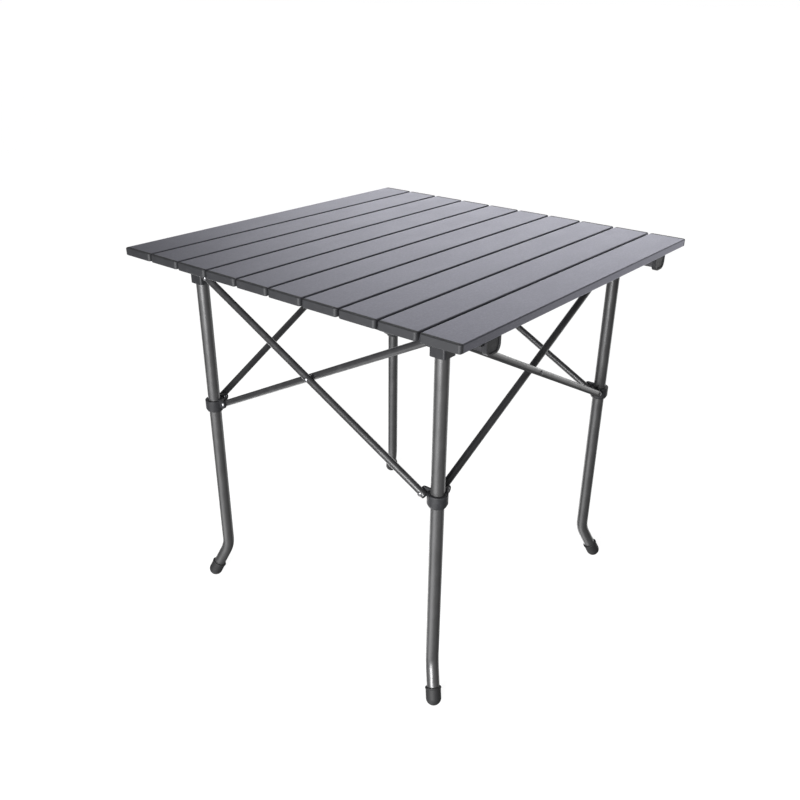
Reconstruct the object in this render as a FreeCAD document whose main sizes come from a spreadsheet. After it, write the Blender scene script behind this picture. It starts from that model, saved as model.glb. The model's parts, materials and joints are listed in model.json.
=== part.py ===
"""Folding side table: a roll-up slatted aluminium top on a four-legged scissor frame.

Frame of the part: millimetres, +Z up, origin on the floor under the middle of the top.
The slats run along X and lie side by side along Y. slat_01 is at the back (+Y) and
slat_10 at the front (-Y). The legs stand at the corners of a square, and the whole
frame repeats every quarter turn about Z, in the order front-left, front-right,
back-right, back-left.
"""
import FreeCAD, Part
import math
import os
import Sketcher
from FreeCAD import Placement, Rotation, Vector

# Driving dimensions in millimetres and degrees. They are copied into the sheet, and
# every feature below is bound to the sheet.
DRIVING = [
    # roll-up top
    ("table_height", 680.0),
    ("slat_pitch", 70.0),
    ("slat_width", 66.0),
    ("slat_span", 676.0),
    ("slat_thick", 13.0),
    ("slat_wall", 1.0),
    ("slat_round", 2.0),
    ("slat_cap_depth", 6.0),
    ("slat_cap_corner", 4.5),
    ("slat_plug_depth", 9.0),
    ("plug_gap", 0.15),
    ("cord_radius", 2.0),
    ("cord_hole_radius", 2.6),
    ("cord_reach", 200.0),
    ("knot_reach", 333.0),
    ("knot_radius", 4.2),
    ("end_slat_hole_shift", 8.0),
    # support rails under the top
    ("rail_width", 34.0),
    ("rail_depth", 19.0),
    ("rail_wall", 1.5),
    ("rail_span", 667.0),
    ("rail_cap_depth", 8.0),
    ("rail_cap_height", 26.0),
    ("rail_cap_round", 11.0),
    ("rail_plug_depth", 10.0),
    ("rail_plug_height", 15.0),
    ("dish_margin", 3.0),
    ("dish_depth", 1.2),
    ("guide_width", 8.0),
    ("guide_span", 24.0),
    ("guide_depth", 10.0),
    ("guide_setback", 10.0),
    ("guide_gap", 0.6),
    ("rest_gap", 0.2),
    # legs and feet
    ("leg_reach", 259.0),
    ("leg_radius", 11.0),
    ("leg_wall", 1.2),
    ("leg_top", 655.0),
    ("foot_bend_height", 86.0),
    ("foot_bend_radius", 60.0),
    ("foot_tilt", 28.0),
    ("foot_cap_radius", 13.0),
    ("foot_cap_depth", 19.0),
    ("foot_bore_depth", 15.0),
    ("foot_rim_radius", 1.8),
    # connectors on the legs and collars that slide on them
    ("connector_width", 28.0),
    ("connector_bottom", 618.0),
    ("head_width", 30.0),
    ("connector_round", 4.0),
    ("collar_radius", 16.5),
    ("collar_bottom", 373.5),
    ("collar_depth", 22.0),
    ("collar_taper", 5.0),
    ("collar_lip", 2.5),
    ("collar_gap", 0.3),
    ("lug_thick", 3.6),
    ("lug_radius", 7.5),
    # scissor braces
    ("top_pivot", 632.5),
    ("collar_pivot", 390.8),
    ("pivot_inset", 24.0),
    ("brace_radius", 6.1),
    ("brace_wall", 1.0),
    ("brace_offset", 8.2),
    ("brace_overhang", 6.5),
    ("rivet_radius", 2.3),
    ("rivet_head_radius", 4.2),
    ("rivet_head_tip", 2.6),
    ("rivet_head_depth", 1.5),
    ("pin_gap", 0.05),
    ("side_gap", 0.1),
    ("washer_radius", 4.6),
]
DIM = dict(DRIVING)

SLAT_COUNT = 10
CORNERS = ["front_left", "front_right", "back_right", "back_left"]
SIDES = ["front", "right", "back", "left"]

doc = FreeCAD.newDocument("folding_side_table")
sheet = doc.addObject("Spreadsheet::Sheet", "Dims")
for row, (alias, value) in enumerate(DRIVING, start=1):
    sheet.set("A%d" % row, alias)
    sheet.set("B%d" % row, str(value))
    sheet.setAlias("B%d" % row, alias)
doc.recompute()

subparts = []

# Heights and lengths that follow from the driving dimensions; the texts are sheet expressions.
UNDERSIDE = DIM["table_height"] - DIM["slat_thick"]
SLAT_MIDDLE = DIM["table_height"] - DIM["slat_thick"] / 2
PIVOT_RUN = 2 * (DIM["leg_reach"] - DIM["pivot_inset"])
PIVOT_DROP = DIM["top_pivot"] - DIM["collar_pivot"]
BRACE_ANGLE = math.degrees(math.atan2(PIVOT_DROP, PIVOT_RUN))
CROSSING_HEIGHT = (DIM["top_pivot"] + DIM["collar_pivot"]) / 2
RAIL_BOTTOM = "Dims.table_height - Dims.slat_thick - Dims.rest_gap - Dims.rail_depth"
BRACE_LENGTH = "sqrt((2 * (Dims.leg_reach - Dims.pivot_inset))^2 + (Dims.top_pivot - Dims.collar_pivot)^2)"


# ---------------------------------------------------------------- general helpers

def bind(obj, **expressions):
    """Tie properties of obj to sheet expressions."""
    for prop, expression in expressions.items():
        obj.setExpression(prop, expression)


def keep(obj, name, placement=None):
    """Name a finished sub-part, place it and list it for export."""
    obj.Label = name
    if placement is not None:
        obj.Placement = placement
    subparts.append(obj)


def quarter_turn(index):
    """Placement that carries the front-left corner, or the front side, round the table."""
    return Placement(Vector(0, 0, 0), Rotation(Vector(0, 0, 1), 90 * index))


def box(name, length, width, height, corner):
    """Part box sized by three expressions, with its lowest corner at corner."""
    solid = doc.addObject("Part::Box", name)
    bind(solid, Length=length, Width=width, Height=height)
    solid.Placement.Base = Vector(*corner)
    return solid


def cylinder(name, radius, height, base, axis=(0, 0, 1)):
    """Part cylinder sized by two expressions, from base along axis."""
    solid = doc.addObject("Part::Cylinder", name)
    bind(solid, Radius=radius, Height=height)
    solid.Placement = Placement(Vector(*base), Rotation(Vector(0, 0, 1), Vector(*axis)))
    return solid


def fuse(name, shapes):
    """Union of several solids."""
    union = doc.addObject("Part::MultiFuse", name)
    union.Shapes = shapes
    union.Refine = True
    return union


def cut(name, base, tool):
    """Base with tool taken away."""
    result = doc.addObject("Part::Cut", name)
    result.Base = base
    result.Tool = tool
    result.Refine = True
    return result


def compound(name, shapes):
    """Several separate solids in one node."""
    group = doc.addObject("Part::Compound", name)
    group.Links = shapes
    return group


def fillet_edges(name, base, radius, chosen):
    """Round the edges of base that the test chosen accepts."""
    doc.recompute()
    result = doc.addObject("Part::Fillet", name)
    result.Base = base
    edges = enumerate(base.Shape.Edges, start=1)
    result.Edges = [(number, radius, radius) for number, edge in edges if chosen(edge)]
    return result


def runs_along(edge, axis):
    """True for a straight edge parallel to a coordinate axis."""
    if len(edge.Vertexes) != 2:
        return False
    step = edge.Vertexes[1].Point - edge.Vertexes[0].Point
    return abs(abs(step.normalize()[axis]) - 1) < 1e-6


def is_level(edge):
    """True for an edge that lies in a horizontal plane."""
    return edge.BoundBox.ZLength < 1e-6


def new_sketch(body, plane, name, offset=(0, 0, 0)):
    """Sketch on one of the body's own origin planes, moved by offset in the sketch's frame."""
    sketch = body.newObject("Sketcher::SketchObject", name)
    origin_plane = [item for item in body.Origin.OriginFeatures if item.Role == plane][0]
    sketch.AttachmentSupport = [(origin_plane, "")]
    sketch.MapMode = "FlatFace"
    sketch.AttachmentOffset = Placement(Vector(*offset), Rotation())
    return sketch


def constrain(sketch, expression, *arguments):
    """Add a dimension to a sketch and tie it to a sheet expression."""
    index = sketch.addConstraint(Sketcher.Constraint(*arguments))
    sketch.setExpression("Constraints[%d]" % index, expression)


def centred_rectangle(sketch, width, height):
    """Rectangle about the sketch's origin, sized by two expressions."""
    corners = [Vector(-20, -5, 0), Vector(20, -5, 0), Vector(20, 5, 0), Vector(-20, 5, 0)]
    first = sketch.GeometryCount
    for k in range(4):
        sketch.addGeometry(Part.LineSegment(corners[k], corners[(k + 1) % 4]))
    for k in range(4):
        following = first + (k + 1) % 4
        sketch.addConstraint(Sketcher.Constraint("Coincident", first + k, 2, following, 1))
        sketch.addConstraint(Sketcher.Constraint("Vertical" if k % 2 else "Horizontal", first + k))
    sketch.addConstraint(Sketcher.Constraint("Symmetric", first, 1, first + 2, 1, -1, 1))
    constrain(sketch, width, "DistanceX", first, 1, first, 2, 40.0)
    constrain(sketch, height, "DistanceY", first + 1, 1, first + 1, 2, 10.0)


def centred_circle(sketch, radius):
    """Circle about the sketch's origin."""
    index = sketch.addGeometry(Part.Circle(Vector(0, 0, 0), Vector(0, 0, 1), 5.0))
    sketch.addConstraint(Sketcher.Constraint("Coincident", index, 3, -1, 1))
    constrain(sketch, radius, "Radius", index, 5.0)


def circle_pair(sketch, radius, spacing):
    """Two equal circles on the sketch's horizontal axis, mirrored about its vertical axis."""
    pair = []
    for x in (-50.0, 50.0):
        pair.append(sketch.addGeometry(Part.Circle(Vector(x, 0, 0), Vector(0, 0, 1), 5.0)))
        constrain(sketch, radius, "Radius", pair[-1], 5.0)
    sketch.addConstraint(Sketcher.Constraint("PointOnObject", pair[0], 3, -1))
    sketch.addConstraint(Sketcher.Constraint("Symmetric", pair[0], 3, pair[1], 3, -2))
    constrain(sketch, spacing, "DistanceX", pair[0], 3, pair[1], 3, 100.0)


def pad(body, sketch, name, length, midplane=True):
    """Pad a sketch, on both sides of its plane unless told otherwise."""
    feature = body.newObject("PartDesign::Pad", name)
    feature.Profile = sketch
    feature.Midplane = midplane
    bind(feature, Length=length)
    return feature


def pocket(body, sketch, name, length):
    """Cut a sketch out of the body on both sides of its plane."""
    feature = body.newObject("PartDesign::Pocket", name)
    feature.Profile = sketch
    feature.Midplane = True
    bind(feature, Length=length)
    return feature


# ---------------------------------------------------------------- roll-up top

def slat_centre(number):
    """Y of a slat's centre line; slat 1 is at the back."""
    return ((SLAT_COUNT + 1) / 2 - number) * DIM["slat_pitch"]


def make_slat(number):
    """Hollow aluminium extrusion with a centre rib, drilled for the two elastic cords."""
    body = doc.addObject("PartDesign::Body", "Slat%02d" % number)
    tube_sketch = new_sketch(body, "YZ_Plane", "SlatSection%02d" % number)
    centred_rectangle(tube_sketch, "Dims.slat_width", "Dims.slat_thick")
    centred_rectangle(tube_sketch, "Dims.slat_width - 2 * Dims.slat_wall",
                      "Dims.slat_thick - 2 * Dims.slat_wall")
    pad(body, tube_sketch, "SlatTube%02d" % number, "Dims.slat_span")
    rib_sketch = new_sketch(body, "YZ_Plane", "RibSection%02d" % number)
    centred_rectangle(rib_sketch, "Dims.slat_wall", "Dims.slat_thick - Dims.slat_wall")
    pad(body, rib_sketch, "SlatRib%02d" % number, "Dims.slat_span")
    # The outer edge walls of the first and last slat stay closed.
    shift = DIM["end_slat_hole_shift"] * ((number == 1) - (number == SLAT_COUNT))
    hole_sketch = new_sketch(body, "XZ_Plane", "CordHoles%02d" % number, (0, 0, shift))
    circle_pair(hole_sketch, "Dims.cord_hole_radius", "2 * Dims.cord_reach")
    bores = pocket(body, hole_sketch, "CordBores%02d" % number, "Dims.slat_width")
    doc.recompute()
    rounding = body.newObject("PartDesign::Fillet", "SlatEdges%02d" % number)
    half_width = DIM["slat_width"] / 2
    outer = [
        "Edge%d" % index
        for index, edge in enumerate(bores.Shape.Edges, start=1)
        if runs_along(edge, 0) and abs(abs(edge.Vertexes[0].Y) - half_width) < 1e-6
    ]
    rounding.Base = (bores, outer)
    bind(rounding, Radius="Dims.slat_round")
    body.Tip = rounding
    keep(body, "slat_%02d" % number, Placement(Vector(0, slat_centre(number), SLAT_MIDDLE), Rotation()))


def make_slat_caps(number):
    """Moulded plastic caps in both ends of a slat: an end plate and two plugs each."""
    tag = "Cap%02d" % number
    ends = []
    for side in (-1, 1):
        label = tag + ("L" if side < 0 else "R")
        plate_start = side * DIM["slat_span"] / 2 - (DIM["slat_cap_depth"] if side < 0 else 0)
        plate_face = side * DIM["slat_span"] / 2
        plate_end = plate_face + side * DIM["slat_cap_depth"]
        plate = box(label + "Plate", "Dims.slat_cap_depth", "Dims.slat_width", "Dims.slat_thick",
                    (plate_start, -DIM["slat_width"] / 2, -DIM["slat_thick"] / 2))
        corners = fillet_edges(
            label + "Corners", plate, DIM["slat_cap_corner"],
            lambda edge: runs_along(edge, 2) and abs(edge.Vertexes[0].X - plate_end) < 1e-6)
        rounded = fillet_edges(
            label + "Rounded", corners, DIM["slat_round"],
            lambda edge: is_level(edge) and abs(edge.BoundBox.Center.x - plate_face) > 1e-6)
        solids = [rounded]
        plug_width = "Dims.slat_width / 2 - 1.5 * Dims.slat_wall - 2 * Dims.plug_gap"
        plug_height = "Dims.slat_thick - 2 * Dims.slat_wall - 2 * Dims.plug_gap"
        half_height = DIM["slat_thick"] / 2 - DIM["slat_wall"] - DIM["plug_gap"]
        plug_start = side * DIM["slat_span"] / 2 - (0 if side < 0 else DIM["slat_plug_depth"])
        rib_side = DIM["slat_wall"] / 2 + DIM["plug_gap"]
        wall_side = -DIM["slat_width"] / 2 + DIM["slat_wall"] + DIM["plug_gap"]
        for index, plug_edge in enumerate((rib_side, wall_side)):
            solids.append(box(label + "Plug%d" % index, "Dims.slat_plug_depth", plug_width, plug_height,
                              (plug_start, plug_edge, -half_height)))
        ends.append(fuse(label, solids))
    group = compound(tag + "Pair", ends)
    keep(group, "slat_%02d_end_caps" % number,
         Placement(Vector(0, slat_centre(number), SLAT_MIDDLE), Rotation()))


def make_elastic_cords():
    """Two elastic cords that string the slats together, each knotted in the end slats."""
    cord_end = DIM["knot_reach"]
    cords = []
    for index, side in enumerate((-1, 1)):
        x = side * DIM["cord_reach"]
        line = cylinder("CordLine%d" % index, "Dims.cord_radius", "2 * Dims.knot_reach",
                        (x, -cord_end, SLAT_MIDDLE), (0, 1, 0))
        solids = [line]
        for end, y in enumerate((-cord_end, cord_end)):
            knot = doc.addObject("Part::Sphere", "CordKnot%d%d" % (index, end))
            bind(knot, Radius="Dims.knot_radius")
            knot.Placement.Base = Vector(x, y, SLAT_MIDDLE)
            solids.append(knot)
        cords.append(fuse("Cord%d" % index, solids))
    keep(compound("Cords", cords), "elastic_cords")


def make_rail_guides(number, name):
    """Plastic blocks under an end slat that stand against the outer flanks of both rails."""
    outer = abs(slat_centre(number)) + DIM["slat_width"] / 2 - DIM["guide_setback"]
    y = outer - DIM["guide_span"] if number == 1 else -outer
    flank = DIM["leg_reach"] + DIM["rail_width"] / 2 + DIM["guide_gap"]
    blocks = []
    for index, x in enumerate((-flank - DIM["guide_width"], flank)):
        label = "Guide%02d%d" % (number, index)
        block = box(label + "Block", "Dims.guide_width", "Dims.guide_span", "Dims.guide_depth",
                    (x, y, UNDERSIDE - DIM["guide_depth"]))
        blocks.append(fillet_edges(label, block, DIM["slat_round"] / 2,
                                   lambda edge: edge.BoundBox.ZMax < UNDERSIDE - 1))
    keep(compound("Guides%02d" % number, blocks), name)


# ---------------------------------------------------------------- support rails

def is_low_corner(edge):
    """True for an edge along Y in the lower half of a rail cap's height."""
    return runs_along(edge, 1) and edge.BoundBox.ZMax < UNDERSIDE - DIM["rail_cap_height"] / 2


def make_rail(index, name):
    """Aluminium channel, open downward, that drops over two leg connectors."""
    body = doc.addObject("PartDesign::Body", "Rail%d" % index)
    section = new_sketch(body, "XZ_Plane", "RailSection%d" % index)
    centred_rectangle(section, "Dims.rail_width", "Dims.rail_depth")
    pad(body, section, "RailBar%d" % index, "Dims.rail_span")
    trough = new_sketch(body, "XZ_Plane", "RailTrough%d" % index, (0, -DIM["rail_wall"], 0))
    centred_rectangle(trough, "Dims.rail_width - 2 * Dims.rail_wall", "Dims.rail_depth")
    pocket(body, trough, "RailChannel%d" % index, "Dims.rail_span + 2 * Dims.rail_wall")
    middle = UNDERSIDE - DIM["rest_gap"] - DIM["rail_depth"] / 2
    keep(body, name, Placement(Vector(rail_x(index), 0, middle), Rotation()))


def rail_x(index):
    """X of a rail's centre line: 0 is the left rail, 1 the right rail."""
    return DIM["leg_reach"] * (2 * index - 1)


def make_rail_caps(index, name):
    """Plastic plugs in both ends of a rail, each with a deeper plate with a dished outer face."""
    top = UNDERSIDE - DIM["rest_gap"]
    low = top - DIM["rail_cap_height"]
    half = DIM["rail_width"] / 2
    inset = DIM["rail_wall"] + DIM["plug_gap"]
    margin = DIM["dish_margin"]
    ends = []
    for side in (-1, 1):
        label = "RailCap%d%s" % (index, "F" if side < 0 else "B")
        face = side * DIM["rail_span"] / 2
        plate_start = face - (DIM["rail_cap_depth"] if side < 0 else 0)
        plate = box(label + "Plate", "Dims.rail_width", "Dims.rail_cap_depth", "Dims.rail_cap_height",
                    (-half, plate_start, low))
        plate = fillet_edges(label + "Rounded", plate, DIM["rail_cap_round"], is_low_corner)
        plug_start = face - (0 if side < 0 else DIM["rail_plug_depth"])
        plug = box(label + "Plug", "Dims.rail_width - 2 * Dims.rail_wall - 2 * Dims.plug_gap",
                   "Dims.rail_plug_depth", "Dims.rail_plug_height",
                   (-half + inset, plug_start, top - inset - DIM["rail_plug_height"]))
        dish_start = face + side * (DIM["rail_cap_depth"] - DIM["dish_depth"])
        dish_start -= DIM["rail_cap_depth"] if side < 0 else 0
        dish = box(label + "Dish", "Dims.rail_width - 2 * Dims.dish_margin", "Dims.rail_cap_depth",
                   "Dims.rail_cap_height - 2 * Dims.dish_margin", (-half + margin, dish_start, low + margin))
        dish = fillet_edges(label + "DishRounded", dish, DIM["rail_cap_round"] - margin, is_low_corner)
        solid = fuse(label + "Solid", [plate, plug])
        ends.append(cut(label, solid, dish))
    keep(compound("RailCaps%d" % index, ends), name, Placement(Vector(rail_x(index), 0, 0), Rotation()))


# ---------------------------------------------------------------- legs and feet

def foot_geometry():
    """Points of the leg's bent foot in its own vertical plane, measured from the leg's top.

    Returns the end of the tube below the bend and the middle of the cap's round end,
    each as (outward, up).
    """
    tilt = math.radians(DIM["foot_tilt"])
    radius = DIM["foot_bend_radius"]
    bend = Vector(radius * (1 - math.cos(tilt)), 0, DIM["foot_bend_height"] - radius * math.sin(tilt))
    direction = Vector(math.sin(tilt), 0, -math.cos(tilt))
    ball = bend + direction * ((bend.z - DIM["foot_cap_radius"]) / math.cos(tilt))
    # The tube stands on the floor of the cap's bore.
    tube_end = ball - direction * (DIM["foot_cap_depth"] - DIM["foot_bore_depth"])
    return tube_end, ball, direction


def corner_placement(index, height, turn=225.0):
    """Placement at a leg's axis, with local X pointing away from the table's middle."""
    place = Placement(Vector(-DIM["leg_reach"], -DIM["leg_reach"], height),
                      Rotation(Vector(0, 0, 1), turn))
    return quarter_turn(index).multiply(place)


def make_leg(index, corner):
    """Steel tube, straight down to a bent foot, swept along its centre line."""
    body = doc.addObject("PartDesign::Body", "Leg%d" % index)
    tube_end = foot_geometry()[0]
    ring = new_sketch(body, "XY_Plane", "LegSection%d" % index)
    centred_circle(ring, "Dims.leg_radius")
    centred_circle(ring, "Dims.leg_radius - Dims.leg_wall")
    spine = new_sketch(body, "XZ_Plane", "LegLine%d" % index)
    tilt = math.radians(DIM["foot_tilt"])
    radius = DIM["foot_bend_radius"]
    drop = DIM["leg_top"] - DIM["foot_bend_height"]
    centre = Vector(radius, -drop, 0)
    bend_end = centre + Vector(-radius * math.cos(tilt), -radius * math.sin(tilt), 0)
    bottom = Vector(tube_end.x, tube_end.z - DIM["leg_top"], 0)
    shaft = spine.addGeometry(Part.LineSegment(Vector(0, 0, 0), Vector(0, -drop, 0)))
    bend = spine.addGeometry(Part.ArcOfCircle(Part.Circle(centre, Vector(0, 0, 1), radius),
                                              math.pi, math.pi + tilt))
    foot = spine.addGeometry(Part.LineSegment(bend_end, bottom))
    spine.addConstraint(Sketcher.Constraint("Coincident", shaft, 1, -1, 1))
    spine.addConstraint(Sketcher.Constraint("Vertical", shaft))
    spine.addConstraint(Sketcher.Constraint("Tangent", shaft, 2, bend, 1))
    spine.addConstraint(Sketcher.Constraint("Tangent", bend, 2, foot, 1))
    constrain(spine, "Dims.leg_top - Dims.foot_bend_height", "DistanceY", shaft, 2, shaft, 1, drop)
    constrain(spine, "Dims.foot_bend_radius", "Radius", bend, radius)
    constrain(spine, "90 - Dims.foot_tilt", "Angle", foot, 2, -1, 2, math.pi / 2 - tilt)
    constrain(spine, "%g" % (bend_end.y - bottom.y), "DistanceY", foot, 2, foot, 1,
              bend_end.y - bottom.y)
    pipe = body.newObject("PartDesign::AdditivePipe", "LegTube%d" % index)
    pipe.Profile = ring
    pipe.Spine = spine
    keep(body, "leg_" + corner, corner_placement(index, DIM["leg_top"]))


def make_foot_cap(index, corner):
    """Rubber cap with a round end and a rolled rim, pushed over the bent end of the leg."""
    tag = "Foot%d" % index
    barrel = cylinder(tag + "Barrel", "Dims.foot_cap_radius",
                      "Dims.foot_cap_depth", (0, 0, 0))
    ball = doc.addObject("Part::Sphere", tag + "Ball")
    bind(ball, Radius="Dims.foot_cap_radius")
    rim = doc.addObject("Part::Torus", tag + "Rim")
    bind(rim, Radius1="Dims.foot_cap_radius - Dims.foot_rim_radius / 2", Radius2="Dims.foot_rim_radius")
    rim.Placement.Base = Vector(0, 0, DIM["foot_cap_depth"] - DIM["foot_rim_radius"])
    solid = fuse(tag + "Solid", [barrel, ball, rim])
    bore = cylinder(tag + "Bore", "Dims.leg_radius + Dims.pin_gap", "2 * Dims.foot_bore_depth",
                    (0, 0, DIM["foot_cap_depth"] - DIM["foot_bore_depth"]))
    cap = cut(tag, solid, bore)
    ball_centre, direction = foot_geometry()[1:]
    lean = Placement(ball_centre, Rotation(Vector(0, 0, -1), direction))
    keep(cap, "foot_cap_" + corner, corner_placement(index, 0).multiply(lean))


# ---------------------------------------------------------------- connectors and collars

def lug_pair(tag, height):
    """Two thin drilled lugs that reach from a leg's axis towards its two neighbours."""
    x0, y0 = -DIM["leg_reach"], -DIM["leg_reach"]
    half = DIM["lug_thick"] / 2
    plates = []
    holes = []
    for index, (dx, dy) in enumerate(((1, 0), (0, 1))):
        eye = (x0 + dx * DIM["pivot_inset"], y0 + dy * DIM["pivot_inset"])
        low = height - DIM["lug_radius"]
        if dx:
            arm = box(tag + "Arm%d" % index, "Dims.pivot_inset", "Dims.lug_thick", "2 * Dims.lug_radius",
                      (x0, y0 - half, low))
        else:
            arm = box(tag + "Arm%d" % index, "Dims.lug_thick", "Dims.pivot_inset", "2 * Dims.lug_radius",
                      (x0 - half, y0, low))
        start = (eye[0] - dy * half, eye[1] - dx * half, height)
        plates += [arm, cylinder(tag + "Eye%d" % index, "Dims.lug_radius", "Dims.lug_thick",
                                 start, (dy, dx, 0))]
        drill = (eye[0] - dy * DIM["lug_thick"], eye[1] - dx * DIM["lug_thick"], height)
        holes.append(cylinder(tag + "Drill%d" % index, "Dims.rivet_radius + Dims.pin_gap",
                              "2 * Dims.lug_thick", drill, (dy, dx, 0)))
    return plates, holes


def make_connector(index, corner):
    """Plastic block on a leg's top: a square head for the rail and two brace lugs below it."""
    tag = "Connector%d" % index
    reach = -DIM["leg_reach"]
    shoulder = UNDERSIDE - DIM["rest_gap"] - DIM["rail_depth"]
    half = DIM["connector_width"] / 2
    block = box(tag + "Block", "Dims.connector_width", "Dims.connector_width",
                RAIL_BOTTOM + " - Dims.connector_bottom",
                (reach - half, reach - half, DIM["connector_bottom"]))
    block = fillet_edges(tag + "BlockRounded", block, DIM["connector_round"],
                         lambda edge: runs_along(edge, 2))
    half_head = DIM["head_width"] / 2
    head_top = UNDERSIDE - 2 * DIM["rest_gap"] - DIM["rail_wall"]
    head = box(tag + "Head", "Dims.head_width", "Dims.head_width",
               "Dims.rail_depth - Dims.rail_wall - Dims.rest_gap",
               (reach - half_head, reach - half_head, shoulder))
    head = fillet_edges(tag + "HeadRounded", head, DIM["connector_round"] / 2,
                        lambda edge: runs_along(edge, 2) or edge.BoundBox.ZMin > head_top - 1)
    plates, holes = lug_pair(tag, DIM["top_pivot"])
    solid = fuse(tag + "Solid", [block, head] + plates)
    bore = cylinder(tag + "Bore", "Dims.leg_radius + Dims.pin_gap",
                    "Dims.leg_top - Dims.connector_bottom + Dims.leg_wall",
                    (reach, reach, DIM["connector_bottom"] - DIM["leg_wall"]))
    tools = fuse(tag + "Tools", [bore] + holes)
    keep(cut(tag, solid, tools), "leg_connector_" + corner, quarter_turn(index))


def make_collar(index, corner):
    """Plastic ring that slides on a leg and carries the lower ends of two braces."""
    tag = "Collar%d" % index
    reach = -DIM["leg_reach"]
    shoulder = DIM["collar_bottom"] + DIM["collar_taper"]
    collar_top = DIM["collar_bottom"] + DIM["collar_depth"]
    ring = cylinder(tag + "Ring", "Dims.collar_radius", "Dims.collar_depth - Dims.collar_taper",
                    (reach, reach, shoulder))
    ring = fillet_edges(tag + "RingRounded", ring, DIM["slat_round"] / 2,
                        lambda edge: is_level(edge) and edge.BoundBox.ZMin > collar_top - 1)
    taper = doc.addObject("Part::Cone", tag + "Taper")
    bind(taper, Radius1="Dims.collar_radius - Dims.collar_lip", Radius2="Dims.collar_radius",
         Height="Dims.collar_taper")
    taper.Placement.Base = Vector(reach, reach, DIM["collar_bottom"])
    plates, holes = lug_pair(tag, DIM["collar_pivot"])
    solid = fuse(tag + "Solid", [ring, taper] + plates)
    bore = cylinder(tag + "Bore", "Dims.leg_radius + Dims.collar_gap", "2 * Dims.collar_depth",
                    (reach, reach, DIM["collar_bottom"] - DIM["collar_depth"] / 2))
    tools = fuse(tag + "Tools", [bore] + holes)
    keep(cut(tag, solid, tools), "sliding_collar_" + corner, quarter_turn(index))


# ---------------------------------------------------------------- scissor braces

def make_brace(index, side, layer):
    """Straight tube drilled at its middle and near its ends.

    The outer brace of a side drops from the side's first leg to its second leg, and the
    inner brace crosses it the other way.
    """
    body = doc.addObject("PartDesign::Body", "Brace%d%s" % (index, layer))
    sign = -1 if layer == "outer" else 1
    ring = new_sketch(body, "YZ_Plane", "BraceSection%d%s" % (index, layer))
    centred_circle(ring, "Dims.brace_radius")
    centred_circle(ring, "Dims.brace_radius - Dims.brace_wall")
    pad(body, ring, "BraceTube%d%s" % (index, layer), BRACE_LENGTH + " + 2 * Dims.brace_overhang")
    holes = new_sketch(body, "XZ_Plane", "BraceHoles%d%s" % (index, layer))
    centred_circle(holes, "Dims.rivet_radius + Dims.pin_gap")
    circle_pair(holes, "Dims.rivet_radius + Dims.pin_gap", BRACE_LENGTH)
    pocket(body, holes, "BraceBores%d%s" % (index, layer), "4 * Dims.brace_radius")
    # A positive turn about Y lowers the tube's +X end.
    lean = Rotation(Vector(0, 1, 0), -sign * BRACE_ANGLE)
    y = -DIM["leg_reach"] + sign * DIM["brace_offset"]
    place = Placement(Vector(0, y, CROSSING_HEIGHT), lean)
    keep(body, "brace_%s_%s" % (side, layer), quarter_turn(index).multiply(place))


def rivet(tag, x, z, start, end):
    """Rivet across the front side's plane, from start to end, with a head at both ends."""
    plane = -DIM["leg_reach"]
    shank = cylinder(tag + "Shank", "Dims.rivet_radius", "%g" % (end - start),
                     (x, plane + start, z), (0, 1, 0))
    heads = []
    for label, y, direction in (("Near", plane + start, -1), ("Far", plane + end, 1)):
        head = doc.addObject("Part::Cone", tag + label)
        bind(head, Radius1="Dims.rivet_head_radius", Radius2="Dims.rivet_head_tip",
             Height="Dims.rivet_head_depth")
        head.Placement = Placement(Vector(x, y, z), Rotation(Vector(0, 0, 1), Vector(0, direction, 0)))
        heads.append(head)
    return fuse(tag, [shank] + heads)


def make_brace_rivets(index, side, layer):
    """The rivets that a brace carries; the outer brace also carries the crossing rivet."""
    tag = "Rivets%d%s" % (index, layer)
    sign = -1 if layer == "outer" else 1
    eye = DIM["leg_reach"] - DIM["pivot_inset"]
    tube_face = DIM["brace_offset"] + DIM["brace_radius"]
    lug_face = DIM["lug_thick"] / 2 + DIM["side_gap"]
    start, end = (-tube_face, lug_face) if layer == "outer" else (-lug_face, tube_face)
    solids = [
        rivet(tag + "Top", sign * eye, DIM["top_pivot"], start, end),
        rivet(tag + "Low", -sign * eye, DIM["collar_pivot"], start, end),
    ]
    if layer == "outer":
        crossing = rivet(tag + "Crossing", 0, CROSSING_HEIGHT, -tube_face,
                         tube_face + DIM["side_gap"])
        inner_face = DIM["brace_offset"] - DIM["brace_radius"]
        washer = cylinder(tag + "Washer", "Dims.washer_radius",
                          "2 * (Dims.brace_offset - Dims.brace_radius) - Dims.side_gap",
                          (0, -DIM["leg_reach"] - inner_face, CROSSING_HEIGHT), (0, 1, 0))
        solids.append(fuse(tag + "Middle", [crossing, washer]))
    keep(compound(tag, solids), "rivets_%s_%s" % (side, layer), quarter_turn(index))


# ---------------------------------------------------------------- assembly and export

for slat_number in range(1, SLAT_COUNT + 1):
    make_slat(slat_number)
    make_slat_caps(slat_number)
make_elastic_cords()
make_rail_guides(1, "rail_guides_back")
make_rail_guides(SLAT_COUNT, "rail_guides_front")

for rail_index, rail_name in enumerate(("rail_left", "rail_right")):
    make_rail(rail_index, rail_name)
    make_rail_caps(rail_index, rail_name + "_end_caps")

for corner_index, corner_name in enumerate(CORNERS):
    make_leg(corner_index, corner_name)
    make_foot_cap(corner_index, corner_name)
    make_connector(corner_index, corner_name)
    make_collar(corner_index, corner_name)

for side_index, side_name in enumerate(SIDES):
    for layer_name in ("outer", "inner"):
        make_brace(side_index, side_name, layer_name)
        make_brace_rivets(side_index, side_name, layer_name)

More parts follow.
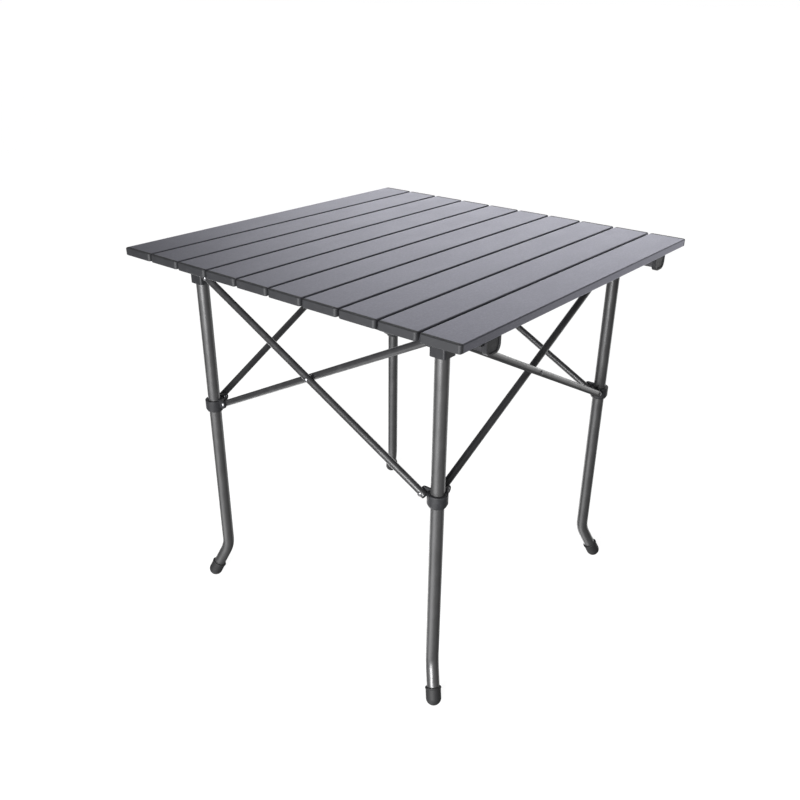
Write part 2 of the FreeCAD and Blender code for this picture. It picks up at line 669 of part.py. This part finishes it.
doc.recompute()
for item in doc.Objects:
    if "Invalid" in item.State or "Error" in item.State:
        raise RuntimeError("%s did not build: %s" % (item.Name, item.State))
for item in subparts:
    if item.Shape.isNull() or not item.Shape.isValid():
        raise RuntimeError("%s has no valid shape" % item.Label)

os.makedirs("parts", exist_ok=True)
for item in subparts:
    item.Shape.exportStep("parts/%s.step" % item.Label)
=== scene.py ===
"""Looks for the folding side table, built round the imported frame.

Metres, +Z up, in the frame's own coordinates. The slats run along X and the front of
the table faces -Y. Places on the table come from the frame's node boxes and meshes; only
the lights and the camera are placed in numbers.
"""
import bmesh
import bpy
import json
import math
from mathutils import Matrix, Vector


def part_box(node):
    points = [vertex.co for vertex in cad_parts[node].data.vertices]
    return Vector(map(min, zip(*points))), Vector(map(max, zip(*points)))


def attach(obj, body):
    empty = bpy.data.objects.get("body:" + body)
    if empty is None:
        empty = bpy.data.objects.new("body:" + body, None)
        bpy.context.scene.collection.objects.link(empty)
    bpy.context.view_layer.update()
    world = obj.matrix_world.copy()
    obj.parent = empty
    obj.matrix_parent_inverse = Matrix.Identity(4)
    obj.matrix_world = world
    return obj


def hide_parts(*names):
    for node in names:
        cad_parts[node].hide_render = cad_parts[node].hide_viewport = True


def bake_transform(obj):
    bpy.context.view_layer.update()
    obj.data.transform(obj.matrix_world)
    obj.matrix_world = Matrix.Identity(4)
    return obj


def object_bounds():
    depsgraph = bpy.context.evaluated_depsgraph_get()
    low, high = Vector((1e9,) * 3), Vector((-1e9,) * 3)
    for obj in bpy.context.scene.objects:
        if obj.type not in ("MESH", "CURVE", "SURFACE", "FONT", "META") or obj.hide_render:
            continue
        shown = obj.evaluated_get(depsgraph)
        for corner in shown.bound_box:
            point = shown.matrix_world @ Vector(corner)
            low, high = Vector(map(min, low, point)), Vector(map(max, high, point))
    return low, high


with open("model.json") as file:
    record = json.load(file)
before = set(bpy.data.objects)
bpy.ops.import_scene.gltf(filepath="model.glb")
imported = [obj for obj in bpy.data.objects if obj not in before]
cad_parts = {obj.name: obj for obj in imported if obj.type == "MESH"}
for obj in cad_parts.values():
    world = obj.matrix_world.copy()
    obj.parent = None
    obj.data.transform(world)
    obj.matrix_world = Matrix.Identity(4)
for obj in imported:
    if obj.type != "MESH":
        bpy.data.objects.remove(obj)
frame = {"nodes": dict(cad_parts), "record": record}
cad_low, cad_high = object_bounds()

SIDES = ("front", "right", "back", "left")
LAYERS = ("outer", "inner")
SLATS = ["slat_%02d" % number for number in range(1, 11)]
SLAT_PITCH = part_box(SLATS[0])[0].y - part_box(SLATS[1])[0].y
SLAT_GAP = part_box(SLATS[0])[0].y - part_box(SLATS[1])[1].y


# ---------------------------------------------------------------- material helpers

def set_range(node, from_low, from_high, to_low, to_high):
    """Fill in the four ends of a Map Range node."""
    node.inputs["From Min"].default_value = from_low
    node.inputs["From Max"].default_value = from_high
    node.inputs["To Min"].default_value = to_low
    node.inputs["To Max"].default_value = to_high


class Material:
    """A Principled material whose inputs are fed by small procedural networks."""

    def __init__(self, name, color, roughness, metallic=0.0, **sockets):
        self.data = bpy.data.materials.new(name)
        self.data.use_nodes = True
        self.tree = self.data.node_tree
        self.shader = self.tree.nodes["Principled BSDF"]
        self.base = (*color, 1.0)
        self.shader.inputs["Base Color"].default_value = self.base
        self.shader.inputs["Roughness"].default_value = roughness
        self.shader.inputs["Metallic"].default_value = metallic
        for socket, value in sockets.items():
            self.shader.inputs[socket.replace("_", " ")].default_value = value
        self.coordinates = self.node("ShaderNodeTexCoord").outputs["Object"]
        self.height = None

    def node(self, kind, **settings):
        """New node with its properties set."""
        made = self.tree.nodes.new(kind)
        for name, value in settings.items():
            setattr(made, name, value)
        return made

    def link(self, source, target):
        """Join two sockets."""
        self.tree.links.new(source, target)

    def scaled(self, scale):
        """Object coordinates stretched by a scale per axis."""
        mapping = self.node("ShaderNodeMapping")
        self.link(self.coordinates, mapping.inputs["Vector"])
        mapping.inputs["Scale"].default_value = scale
        return mapping.outputs["Vector"]

    def noise(self, scale, detail=3.0, roughness=0.55, stretch=(1, 1, 1)):
        """Fractal noise from 0 to 1; scale is in features per metre."""
        texture = self.node("ShaderNodeTexNoise")
        self.link(self.scaled(stretch), texture.inputs["Vector"])
        texture.inputs["Scale"].default_value = scale
        texture.inputs["Detail"].default_value = detail
        texture.inputs["Roughness"].default_value = roughness
        return texture.outputs["Fac"]

    def remap(self, value, low, high, to_low, to_high):
        """Value stretched from one range to another, smoothly and clamped."""
        ranged = self.node("ShaderNodeMapRange", interpolation_type="SMOOTHSTEP")
        self.link(value, ranged.inputs["Value"])
        set_range(ranged, low, high, to_low, to_high)
        return ranged.outputs["Result"]

    def math(self, operation, first, second):
        """Math node on two values, each a socket or a number."""
        made = self.node("ShaderNodeMath", operation=operation)
        for socket, value in zip(made.inputs, (first, second)):
            if isinstance(value, (int, float)):
                socket.default_value = value
            else:
                self.link(value, socket)
        return made.outputs["Value"]

    def tint(self, factor, color):
        """Blend the base colour towards another by factor."""
        mix = self.node("ShaderNodeMix", data_type="RGBA")
        base_socket = self.shader.inputs["Base Color"]
        if base_socket.is_linked:
            self.link(base_socket.links[0].from_socket, mix.inputs["A"])
        else:
            mix.inputs["A"].default_value = self.base
        mix.inputs["B"].default_value = (*color, 1.0)
        self.link(factor, mix.inputs["Factor"])
        self.link(mix.outputs["Result"], base_socket)

    def bump(self, height, distance, strength=1.0):
        """Add a bump whose full height is distance, on top of any earlier bump."""
        made = self.node("ShaderNodeBump")
        made.inputs["Strength"].default_value = strength
        made.inputs["Distance"].default_value = distance
        self.link(height, made.inputs["Height"])
        if self.height is not None:
            self.link(self.height, made.inputs["Normal"])
        self.height = made.outputs["Normal"]
        self.link(self.height, self.shader.inputs["Normal"])

    def roughness(self, value):
        """Feed the roughness."""
        self.link(value, self.shader.inputs["Roughness"])

    def axis(self, name):
        """One coordinate as a value."""
        split = self.node("ShaderNodeSeparateXYZ")
        self.link(self.coordinates, split.inputs["Vector"])
        return split.outputs[name]


# ---------------------------------------------------------------- materials

GAP_SHADE_WIDTH = 0.0018    # painted shade fades out over this much slat beside a gap
FOOT_DUST_HEIGHT = 0.012    # dust fades out over this much foot above the floor


def anodised_slats():
    """Dark anodised aluminium: extrusion lines, matt grain, rubbed marks, painted shade by the
    gaps.
    """
    made = Material("anodised_slats", (0.104, 0.1044, 0.1195), 0.34, 0.92,
                    Specular_Tint=(0.90, 0.90, 0.97, 1.0))
    lines = made.noise(1.0, 4.0, 0.7, (5.0, 620.0, 60.0))
    grain = made.noise(1400.0, 2.0, 0.6)
    speckle = made.noise(330.0, 3.0, 0.65)
    cloud = made.noise(26.0, 4.0, 0.6, (0.45, 1.0, 1.0))
    marks = made.noise(1.0, 3.0, 0.6, (9.0, 260.0, 40.0))
    made.tint(made.remap(cloud, 0.35, 0.72, 0.0, 0.28), (0.140, 0.141, 0.160))
    made.tint(made.remap(speckle, 0.40, 0.66, 0.0, 0.60), (0.152, 0.153, 0.1715))
    made.tint(made.remap(lines, 0.42, 0.75, 0.0, 0.30), (0.085, 0.086, 0.104))
    made.tint(made.remap(grain, 0.5, 0.8, 0.0, 0.35), (0.175, 0.177, 0.198))
    made.tint(made.remap(marks, 0.66, 0.80, 0.0, 0.35), (0.20, 0.202, 0.232))
    # Gap centres lie whole pitches from the middle of the top: distance from the nearest one.
    from_gap = made.math("PINGPONG", made.axis("Y"), SLAT_PITCH / 2)
    # Painted shade: each slat is darkened beside the gaps, where their shade falls.
    gap_shade = made.remap(from_gap, SLAT_GAP / 2, SLAT_GAP / 2 + GAP_SHADE_WIDTH, 0.55, 0.0)
    made.tint(gap_shade, (0.030, 0.030, 0.034))
    made.roughness(made.math("ADD", made.remap(cloud, 0.3, 0.7, 0.335, 0.36),
                             made.remap(grain, 0.3, 0.8, -0.03, 0.06)))
    made.bump(lines, 0.00004, 0.5)
    made.bump(grain, 0.00005, 0.6)
    return made.data


def cap_plastic():
    """Dark grey moulded plastic with spark-eroded grain and faint scuffs."""
    made = Material("cap_plastic", (0.0080, 0.0082, 0.0093), 0.60, 0.0, Specular_IOR_Level=0.22)
    grain = made.noise(2400.0, 2.0, 0.5)
    cloud = made.noise(40.0, 4.0, 0.6)
    scuffs = made.noise(240.0, 5.0, 0.75, (1.0, 0.35, 1.6))
    made.tint(made.remap(cloud, 0.3, 0.7, 0.0, 0.6), (0.010, 0.0103, 0.0116))
    made.tint(made.remap(scuffs, 0.60, 0.75, 0.0, 0.5), (0.026, 0.0265, 0.0282))
    made.roughness(made.remap(scuffs, 0.4, 0.75, 0.57, 0.68))
    made.bump(grain, 0.00006, 0.7)
    return made.data


def rail_aluminium():
    """Mill-run aluminium under a dark anodic film, with lines along the rail."""
    made = Material("rail_aluminium", (0.029, 0.029, 0.032), 0.45, 0.75)
    lines = made.noise(1.0, 4.0, 0.65, (700.0, 7.0, 700.0))
    made.tint(made.remap(lines, 0.4, 0.7, 0.0, 0.4), (0.046, 0.046, 0.050))
    made.roughness(made.remap(lines, 0.3, 0.7, 0.36, 0.5))
    made.bump(lines, 0.00004, 0.6)
    return made.data


def coated_legs():
    """Grey metallic powder coat: fine orange peel, a little mottling and rubbed bands."""
    made = Material("coated_legs", (0.050, 0.050, 0.0508), 0.36, 0.65, Specular_IOR_Level=0.3)
    peel = made.noise(900.0, 2.0, 0.5)
    mottle = made.noise(60.0, 4.0, 0.65, (1.0, 1.0, 0.5))
    rub = made.noise(300.0, 4.0, 0.7, (1.0, 1.0, 0.06))
    made.tint(made.remap(mottle, 0.35, 0.7, 0.0, 0.4), (0.062, 0.062, 0.063))
    made.tint(made.remap(rub, 0.58, 0.8, 0.0, 0.3), (0.082, 0.082, 0.083))
    made.roughness(made.remap(mottle, 0.3, 0.7, 0.34, 0.40))
    made.bump(peel, 0.00010, 0.5)
    return made.data


def gloss_braces():
    """Black enamel on thin tube: half gloss, slightly wavy, with a faint bloom of dust."""
    made = Material("gloss_braces", (0.014, 0.014, 0.0148), 0.34, 0.22)
    dust = made.noise(60.0, 4.0, 0.6)
    made.tint(made.remap(dust, 0.40, 0.8, 0.0, 0.5), (0.022, 0.022, 0.023))
    made.roughness(made.remap(dust, 0.35, 0.75, 0.31, 0.40))
    made.bump(made.noise(160.0, 1.0, 0.5), 0.00001, 0.3)
    return made.data


def black_nylon():
    """Glass-filled nylon: satin black with grain and slightly paler rubbed patches."""
    made = Material("black_nylon", (0.010, 0.0102, 0.0112), 0.48, 0.0, Specular_IOR_Level=0.15)
    grain = made.noise(2000.0, 2.0, 0.5)
    rub = made.noise(120.0, 5.0, 0.7)
    made.tint(made.remap(rub, 0.5, 0.75, 0.0, 0.6), (0.020, 0.0205, 0.0225))
    made.roughness(made.remap(rub, 0.3, 0.7, 0.40, 0.55))
    made.bump(grain, 0.00008, 0.6)
    return made.data


def foot_rubber():
    """Matt rubber, dusty where it is scuffed."""
    made = Material("foot_rubber", (0.009, 0.009, 0.0095), 0.62, 0.0, Specular_IOR_Level=0.15)
    dust = made.noise(160.0, 5.0, 0.7)
    low = made.remap(made.axis("Z"), 0.0, FOOT_DUST_HEIGHT, 0.8, 0.0)
    low_dust = made.math("MULTIPLY", low, made.remap(dust, 0.4, 0.7, 0.0, 1.0))
    made.tint(low_dust, (0.05, 0.048, 0.045))
    made.tint(made.remap(dust, 0.55, 0.8, 0.0, 0.5), (0.022, 0.022, 0.022))
    made.bump(made.noise(1300.0, 3.0, 0.6), 0.00012, 0.6)
    return made.data


def rivet_steel():
    """Dulled zinc-plated steel with turning marks."""
    made = Material("rivet_steel", (0.13, 0.13, 0.136), 0.42, 1.0)
    marks = made.noise(1800.0, 4.0, 0.7)
    made.tint(made.remap(marks, 0.45, 0.75, 0.0, 0.6), (0.095, 0.095, 0.10))
    made.roughness(made.remap(marks, 0.3, 0.7, 0.36, 0.48))
    made.bump(marks, 0.00003, 0.5)
    return made.data


def elastic_cord_cover():
    """Braided polyester cover of a shock cord."""
    made = Material("elastic_cord_cover", (0.018, 0.018, 0.019), 0.8, 0.0, Sheen_Weight=0.4)
    waves = made.node("ShaderNodeTexWave", bands_direction="DIAGONAL")
    made.link(made.scaled((700.0, 700.0, 700.0)), waves.inputs["Vector"])
    waves.inputs["Scale"].default_value = 1.0
    made.tint(made.remap(waves.outputs["Fac"], 0.5, 1.0, 0.0, 0.6), (0.07, 0.07, 0.072))
    made.bump(waves.outputs["Fac"], 0.0003, 0.8)
    return made.data


MATERIALS = {
    "anodised_slats": anodised_slats(),
    "slat_cap_plastic": cap_plastic(),
    "rail_aluminium": rail_aluminium(),
    "coated_steel_legs": coated_legs(),
    "black_gloss_braces": gloss_braces(),
    "black_nylon": black_nylon(),
    "foot_rubber": foot_rubber(),
    "rivet_steel": rivet_steel(),
    "elastic_cord": elastic_cord_cover(),
}


# ---------------------------------------------------------------- carried-over CAD nodes

WELD_DISTANCE = 1e-6
BEVEL_ANGLE = math.radians(40)    # only edges sharper than this are rounded
BEVEL_SEGMENTS = 2
NORMALS_WEIGHT = 80


def finish_node(node, slot, bevel):
    """Give a CAD node its material, and softened edges as modifiers."""
    obj = frame["nodes"][node]
    obj.data.materials.clear()
    obj.data.materials.append(MATERIALS[slot])
    for polygon in obj.data.polygons:
        polygon.use_smooth = True
    weld = obj.modifiers.new("weld", "WELD")
    weld.merge_threshold = WELD_DISTANCE
    if bevel:
        rounding = obj.modifiers.new("bevel", "BEVEL")
        rounding.limit_method = "ANGLE"
        rounding.angle_limit = BEVEL_ANGLE
        rounding.width = bevel
        rounding.segments = BEVEL_SEGMENTS
    normals = obj.modifiers.new("normals", "WEIGHTED_NORMAL")
    normals.weight = NORMALS_WEIGHT


# Bevel width in each slot; the slots left out have no bevel.
BEVELS = {
    "slat_cap_plastic": 0.0004,
    "rail_aluminium": 0.0003,
    "black_nylon": 0.0005,
    "rivet_steel": 0.0003,
    "foot_rubber": 0.0004,
}

for entry in frame["record"]["subparts"]:
    finish_node(entry["node"], entry["material_slot"], BEVELS.get(entry["material_slot"], 0.0))


# ---------------------------------------------------------------- added pieces

LOFT_SEGMENTS = 24

CORD_RADIUS = 0.0019
CORD_INSIDE = 0.006    # length of each cord end that lies inside its slat
CORD_ROWS = 24
BRAID_STRANDS = 4
BRAID_LAY = 2600    # radians of braid per metre of cord
BRAID_RELIEF = 0.06    # height of the strands as a share of the radius

RIM_DEPTH = 0.014    # points this near the end of a brace make up its rim

# Half section of a brace plug, from inside the tube outwards: (distance along, radius).
PLUG_BORE = 0.0050
PLUG_PROFILE = [
    (-0.0045, PLUG_BORE * 0.9),
    (-0.0035, PLUG_BORE),
    (0.0, PLUG_BORE),
    (0.0001, PLUG_BORE + 0.0007),
    (0.0004, PLUG_BORE + 0.0008),
    (0.0009, PLUG_BORE + 0.0004),
    (0.0013, PLUG_BORE - 0.0006),
    (0.0016, PLUG_BORE - 0.0020),
    (0.0017, PLUG_BORE - 0.0034),
]


def new_piece(name, bm, slot):
    """Object from a bmesh, smooth, in its slot's material."""
    bmesh.ops.recalc_face_normals(bm, faces=bm.faces)
    mesh = bpy.data.meshes.new(name)
    bm.to_mesh(mesh)
    bm.free()
    for polygon in mesh.polygons:
        polygon.use_smooth = True
    piece = bpy.data.objects.new(name, mesh)
    bpy.context.scene.collection.objects.link(piece)
    mesh.materials.append(MATERIALS[slot])
    return piece


def add_loft(bm, axes, profile):
    """Closed skin of rings round an axis.

    axes is (origin, along, side, up). profile gives (distance along, radius), where the
    radius is a number or a function of the turn round the axis.
    """
    origin, along, side, up = axes
    rings = []
    for distance, radius in profile:
        ring = []
        for step in range(LOFT_SEGMENTS):
            turn = 2 * math.pi * step / LOFT_SEGMENTS
            reach = radius(turn) if callable(radius) else radius
            spoke = side * math.cos(turn) + up * math.sin(turn)
            ring.append(bm.verts.new(origin + along * distance + spoke * reach))
        rings.append(ring)
    for first, second in zip(rings, rings[1:]):
        for step in range(LOFT_SEGMENTS):
            after = (step + 1) % LOFT_SEGMENTS
            bm.faces.new((first[step], first[after], second[after], second[step]))
    bm.faces.new(rings[0])
    bm.faces.new(rings[-1])


def braid_radius(along, turn):
    """Radius of the braided cover at a distance along the cord and a turn round it."""
    forward = math.sin(BRAID_STRANDS * turn + along * BRAID_LAY)
    backward = math.cos(BRAID_STRANDS * turn - along * BRAID_LAY)
    return CORD_RADIUS * (1 + BRAID_RELIEF * forward * backward)


def make_gap_cords():
    """Braided elastic where it shows between two slats; each length is a straight piece across its
    own gap.
    """
    low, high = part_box("elastic_cords")
    knot = (high.z - low.z) / 2
    height = (high.z + low.z) / 2
    for behind, ahead in zip(SLATS, SLATS[1:]):
        gap_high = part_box(behind)[0].y
        gap_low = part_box(ahead)[1].y
        for side, x in (("left", low.x + knot), ("right", high.x - knot)):
            bm = bmesh.new()
            length = gap_high - gap_low + 2 * CORD_INSIDE
            profile = []
            for row in range(CORD_ROWS + 1):
                along = length * row / CORD_ROWS
                profile.append((along, lambda turn, along=along: braid_radius(along, turn)))
            start = Vector((x, gap_high + CORD_INSIDE, height))
            axes = (start, Vector((0, -1, 0)), Vector((1, 0, 0)), Vector((0, 0, 1)))
            add_loft(bm, axes, profile)
            piece = new_piece("cord_%s_%s" % (behind, side), bm, "elastic_cord")
            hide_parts("elastic_cords")
            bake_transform(piece)


def tube_ends(node):
    """Both end centres of a straight tube, and the direction out of each."""
    points = [vertex.co.copy() for vertex in frame["nodes"][node].data.vertices]
    middle = sum(points, Vector()) / len(points)
    far = max(points, key=lambda point: (point - middle).length)
    rough = (far - middle).normalized()
    ends = []
    for sign in (1, -1):
        reach = max(sign * (point - middle).dot(rough) for point in points)
        edge = reach - RIM_DEPTH
        rim = [point for point in points if sign * (point - middle).dot(rough) > edge]
        ends.append(sum(rim, Vector()) / len(rim))
    along = (ends[0] - ends[1]).normalized()
    reach = max((point - middle).dot(along) for point in points)
    back = min((point - middle).dot(along) for point in points)
    centre = (ends[0] + ends[1]) / 2
    offset = (centre - middle) - along * (centre - middle).dot(along)
    return [(middle + offset + along * reach, along), (middle + offset + along * back, -along)]


def make_brace_plugs():
    """Moulded plugs with a domed lip in the open ends of the brace tubes."""
    for side_name in SIDES:
        for layer in LAYERS:
            node = "brace_%s_%s" % (side_name, layer)
            bm = bmesh.new()
            for centre, out in tube_ends(node):
                across = out.orthogonal().normalized()
                add_loft(bm, (centre, out, across, out.cross(across)), PLUG_PROFILE)
            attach(new_piece(node + "_plugs", bm, "black_nylon"), node)


make_gap_cords()
make_brace_plugs()


# ---------------------------------------------------------------- floor, light and camera

FLOOR_REACH = 300.0
FLOOR_DROP = 0.0002    # gap that keeps the floor clear of the feet

# Broad soft sources of the studio, in degrees: azimuth and elevation, the half angles inside
# which each is full and outside which it is gone, then its strength. The first is cut to a
# band along the horizon.
SOURCES = [
    (22.0, 0.0, 14.0, 40.0, 2.9),
    (0.0, 90.0, 20.0, 65.0, 0.30),
    (176.0, -52.0, 8.0, 34.0, 3.6),
    (-10.0, -14.0, 8.0, 36.0, 1.95),
    (166.0, -26.0, 6.0, 24.0, 1.8),
    (72.0, -42.0, 12.0, 30.0, 3.8),
    (0.0, -90.0, 15.0, 45.0, 0.4),
]
# Elevations, in degrees: the band is full up to the first and gone above the second.
BAND_FULL, BAND_GONE = 6.0, 32.0
# Elevations, in degrees, between which the band and the upper surround fade out downwards.
HORIZON_FULL, HORIZON_GONE = -1.0, -10.0
SURROUND_ABOVE, SURROUND_BELOW = 0.24, 0.05

WHITE = (1.0, 1.0, 1.0, 1.0)


def sine(degrees):
    """Height of a direction at this elevation, as a share of its length."""
    return math.sin(math.radians(degrees))


def make_floor():
    """Plain white floor, large enough to fill the view; it takes no part in lighting."""
    mesh = bpy.data.meshes.new("floor")
    corners = [(-FLOOR_REACH, -FLOOR_REACH, 0), (FLOOR_REACH, -FLOOR_REACH, 0),
               (FLOOR_REACH, FLOOR_REACH, 0), (-FLOOR_REACH, FLOOR_REACH, 0)]
    mesh.from_pydata(corners, [], [(0, 1, 2, 3)])
    floor = bpy.data.objects.new("floor", mesh)
    bpy.context.scene.collection.objects.link(floor)
    floor.location.z = cad_low.z - FLOOR_DROP
    made = Material("floor_lightbox", (0.10, 0.10, 0.10), 0.9, 0.0, Specular_IOR_Level=0.1,
                    Emission_Color=WHITE, Emission_Strength=0.94)
    made.tint(made.remap(made.noise(3.0, 3.0), 0.4, 0.7, 0.0, 0.3), (0.12, 0.12, 0.12))
    mesh.materials.append(made.data)
    floor.visible_diffuse = False
    floor.visible_glossy = False


def make_softbox(name, place, target, width, height, power):
    """Rectangular soft light at place, facing target."""
    light = bpy.data.lights.new(name, "AREA")
    light.shape = "RECTANGLE"
    light.size = width
    light.size_y = height
    light.energy = power
    lamp = bpy.data.objects.new(name, light)
    bpy.context.scene.collection.objects.link(lamp)
    lamp.location = place
    lamp.rotation_euler = (Vector(target) - Vector(place)).to_track_quat("-Z", "Y").to_euler()


def make_world():
    """Dim studio surround with broad soft sources; the backdrop itself is white."""
    world = bpy.data.worlds.new("studio")
    bpy.context.scene.world = world
    world.use_nodes = True
    nodes = world.node_tree.nodes
    link = world.node_tree.links.new
    direction = nodes.new("ShaderNodeTexCoord").outputs["Generated"]

    def along(vector):
        """Cosine of the angle from vector."""
        dot = nodes.new("ShaderNodeVectorMath")
        dot.operation = "DOT_PRODUCT"
        link(direction, dot.inputs[0])
        dot.inputs[1].default_value = vector
        return dot.outputs["Value"]

    def ramp(value, start, end, strength):
        """Smooth rise from 0 at start to strength at end."""
        ranged = nodes.new("ShaderNodeMapRange")
        ranged.interpolation_type = "SMOOTHSTEP"
        link(value, ranged.inputs["Value"])
        set_range(ranged, start, end, 0.0, strength)
        return ranged.outputs["Result"]

    def combine(operation, first, second):
        """Math node on two sockets, or a socket and a number."""
        made = nodes.new("ShaderNodeMath")
        made.operation = operation
        link(first, made.inputs[0])
        if isinstance(second, float):
            made.inputs[1].default_value = second
        else:
            link(second, made.inputs[1])
        return made.outputs["Value"]

    strengths = []
    for azimuth, elevation, inner, outer, strength in SOURCES:
        turn, rise = math.radians(azimuth), math.radians(elevation)
        vector = (math.cos(rise) * math.cos(turn), math.cos(rise) * math.sin(turn), math.sin(rise))
        strengths.append(ramp(along(vector), math.cos(math.radians(outer)),
                              math.cos(math.radians(inner)), strength))
    band = ramp(along((0, 0, 1)), sine(BAND_GONE), sine(BAND_FULL), 1.0)
    above = ramp(along((0, 0, 1)), sine(HORIZON_GONE), sine(HORIZON_FULL), 1.0)
    strengths[0] = combine("MULTIPLY", combine("MULTIPLY", strengths[0], band), above)
    total = combine("ADD", strengths[0], SURROUND_BELOW)
    total = combine("ADD", total, combine("MULTIPLY", above, SURROUND_ABOVE - SURROUND_BELOW))
    for strength in strengths[1:]:
        total = combine("ADD", total, strength)
    lit = nodes["Background"]
    link(total, lit.inputs["Strength"])
    backdrop = nodes.new("ShaderNodeBackground")
    mix = nodes.new("ShaderNodeMixShader")
    link(nodes.new("ShaderNodeLightPath").outputs["Is Camera Ray"], mix.inputs["Fac"])
    link(lit.outputs["Background"], mix.inputs[1])
    link(backdrop.outputs["Background"], mix.inputs[2])
    for background in (lit, backdrop):
        background.inputs["Color"].default_value = WHITE
    link(mix.outputs["Shader"], nodes["World Output"].inputs["Surface"])


def make_camera():
    """Camera at the photograph's angle: in front of the front-left corner, looking down."""
    eye = Vector((-1.13299, -0.89472, 1.05357))
    turn, pitch, roll = 0.68407, -0.4753, 0.00932
    level = math.cos(pitch)
    sight = Vector((level * math.cos(turn), level * math.sin(turn), math.sin(pitch)))
    data = bpy.data.cameras.new("camera")
    data.sensor_width = 36.0
    data.lens = 37.718
    data.shift_x = 0.0017
    data.shift_y = 0.04
    camera = bpy.data.objects.new("camera", data)
    bpy.context.scene.collection.objects.link(camera)
    aim = sight.to_track_quat("-Z", "Y").to_matrix().to_4x4()
    camera.matrix_world = Matrix.Translation(eye) @ aim @ Matrix.Rotation(roll, 4, "Z")
    bpy.context.scene.camera = camera


make_floor()
make_world()
make_softbox("key_left", place=(-2.58, -0.79, 0.9), target=(0, 0, 0.4),
             width=1.2, height=1.6, power=330)
make_camera()
bpy.context.scene.view_settings.view_transform = "Standard"
